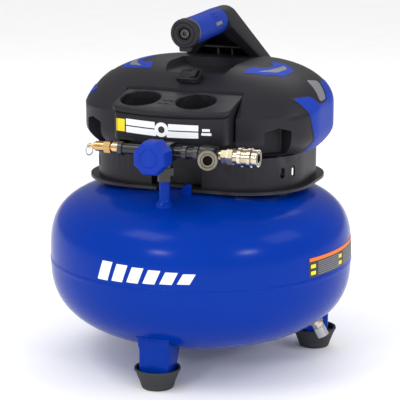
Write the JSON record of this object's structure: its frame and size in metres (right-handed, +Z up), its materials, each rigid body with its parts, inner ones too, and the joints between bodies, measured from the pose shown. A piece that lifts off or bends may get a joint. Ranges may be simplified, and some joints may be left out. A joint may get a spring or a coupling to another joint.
{
  "type": "pancake air compressor",
  "caption": "Portable air compressor: a low round tank on rubber feet under an oval shroud with a gauge panel, regulator knob, quick couplers and a forward-reaching carry grip.",
  "frame": {"origin": "on the floor at the tank's vertical axis", "axes": "+X to the compressor's right seen from its front, -Y out of the front panel, +Z up"},
  "size_m": [0.419, 0.419, 0.4792],
  "materials": {
    "tank_paint": "gloss powder coat",
    "foot_rubber": "matte",
    "zinc_steel": "zinc plated",
    "black_steel": "satin black",
    "shroud_plastic": "fine moulded texture",
    "switch_plastic": "semi-gloss",
    "blue_plastic": "satin",
    "blue_rubber": "soft-touch",
    "brass": "machined",
    "coupler_steel": "plated, machined",
    "gauge_case": "white dial in a black cup",
    "gauge_needle": "painted",
    "gauge_glass": "clear",
    "cast_aluminium": "cast",
    "rotor_steel": "laminated"
  },
  "bodies": {
    "frame": {"check_valve_body": "brass", "console": "shroud_plastic", "cord_gland": "shroud_plastic", "crankcase": "cast_aluminium", "cylinder_head": "cast_aluminium", "discharge_tube": "cast_aluminium", "drain_bung": "tank_paint", "drain_valve_body": "zinc_steel", "end_panel_left": "blue_plastic", "end_panel_right": "blue_plastic", "foot_screws": "zinc_steel", "front_coupler_body": "coupler_steel", "gauge_left_case": "gauge_case", "gauge_left_lens": "gauge_glass", "gauge_right_case": "gauge_case", "gauge_right_lens": "gauge_glass", "grip_end_cap": "shroud_plastic", "grip_screw": "zinc_steel", "grip_sleeve": "blue_rubber", "handle_frame": "shroud_plastic", "head_bolts": "zinc_steel", "leg_bracket_1": "tank_paint", "leg_bracket_2": "tank_paint", "leg_bracket_3": "tank_paint", "manifold": "black_steel", "motor_stator": "black_steel", "mount_pads": "tank_paint", "pressure_switch": "shroud_plastic", "pump_cradle": "black_steel", "pump_cylinder": "cast_aluminium", "regulator_bonnet": "shroud_plastic", "riser_pipe": "tank_paint", "rubber_foot_1": "foot_rubber", "rubber_foot_2": "foot_rubber", "rubber_foot_3": "foot_rubber", "rubber_mounts": "foot_rubber", "safety_valve_body": "brass", "shroud_cowl": "shroud_plastic", "shroud_skirt": "shroud_plastic", "side_coupler_body": "coupler_steel", "switch_bezel": "switch_plastic", "tank_girth_weld": "tank_paint", "tank_lower_head": "tank_paint", "tank_upper_head": "tank_paint", "top_inlay_left": "blue_plastic", "top_inlay_right": "blue_plastic"},
    "regulator_knob": {"regulator_knob": "blue_plastic"},
    "rocker": {"rocker_switch": "switch_plastic"},
    "safety_stem": {"safety_valve_stem": "brass"},
    "pull_ring": {"safety_pull_ring": "black_steel"},
    "front_sleeve": {"front_coupler_sleeve": "coupler_steel"},
    "side_sleeve": {"side_coupler_sleeve": "coupler_steel"},
    "drain_knob": {"drain_valve_knob": "zinc_steel"},
    "left_needle": {"gauge_left_needle": "gauge_needle"},
    "right_needle": {"gauge_right_needle": "gauge_needle"},
    "rotor": {"motor_rotor": "rotor_steel", "crank_shaft": "zinc_steel", "cooling_fan": "shroud_plastic"},
    "piston": {"piston_rod": "cast_aluminium"},
    "check_poppet": {"check_valve_poppet": "brass"}
  },
  "joints": [
    {"name": "regulator_turn", "type": "hinge", "parent": "frame", "child": "regulator_knob", "pos_m": [0, -0.157, 0.312], "axis": [0, -1, 0], "range_deg": [-900, 900]},
    {"name": "rocker_tilt", "type": "hinge", "parent": "frame", "child": "rocker", "pos_m": [0, -0.037, 0.3955], "axis": [0, -0.8387, -0.5446], "range_deg": [-14, 0]},
    {"name": "safety_pull", "type": "slide", "parent": "frame", "child": "safety_stem", "axis": [-1, 0, 0], "range_m": [0, 0.003], "stiffness_N_per_m": 1500, "springref_m": -0.003},
    {"name": "ring_swing", "type": "hinge", "parent": "safety_stem", "child": "pull_ring", "pos_m": [-0.107, -0.135, 0.313], "axis": [0.342, 0.9397, 0], "range_deg": [-35, 35]},
    {"name": "front_sleeve_pull", "type": "slide", "parent": "frame", "child": "front_sleeve", "axis": [-0.3368, 0.9254, -0.1736], "range_m": [0, 0.005], "stiffness_N_per_m": 1200, "springref_m": -0.003},
    {"name": "side_sleeve_pull", "type": "slide", "parent": "frame", "child": "side_sleeve", "axis": [-1, 0, 0], "range_m": [0, 0.005], "stiffness_N_per_m": 1200, "springref_m": -0.003},
    {"name": "drain_turn", "type": "hinge", "parent": "frame", "child": "drain_knob", "pos_m": [0.16042, 0.02255, 0.057], "axis": [0.4649, 0.0653, -0.8829], "range_deg": [0, 720]},
    {"name": "left_needle_sweep", "type": "hinge", "parent": "frame", "child": "left_needle", "pos_m": [-0.055, -0.082, 0.37123], "axis": [0, -0.225, 0.9744], "range_deg": [-270, 0], "stiffness_Nm_per_rad": 0.0005, "springref_deg": 11.46},
    {"name": "right_needle_sweep", "type": "hinge", "parent": "frame", "child": "right_needle", "pos_m": [0.0235, -0.082, 0.37123], "axis": [0, -0.225, 0.9744], "range_deg": [-270, 0], "stiffness_Nm_per_rad": 0.0005, "springref_deg": 11.46},
    {"name": "rotor_spin", "type": "hinge", "parent": "frame", "child": "rotor", "pos_m": [0, 0.03, 0.32], "axis": [1, 0, 0], "continuous": true},
    {"name": "piston_stroke", "type": "slide", "parent": "frame", "child": "piston", "axis": [0, 0, 1], "range_m": [-0.006, 0.006]},
    {"name": "poppet_open", "type": "slide", "parent": "frame", "child": "check_poppet", "axis": [0, 0, -1], "range_m": [0, 0.003], "stiffness_N_per_m": 200, "springref_m": -0.003}
  ]
}
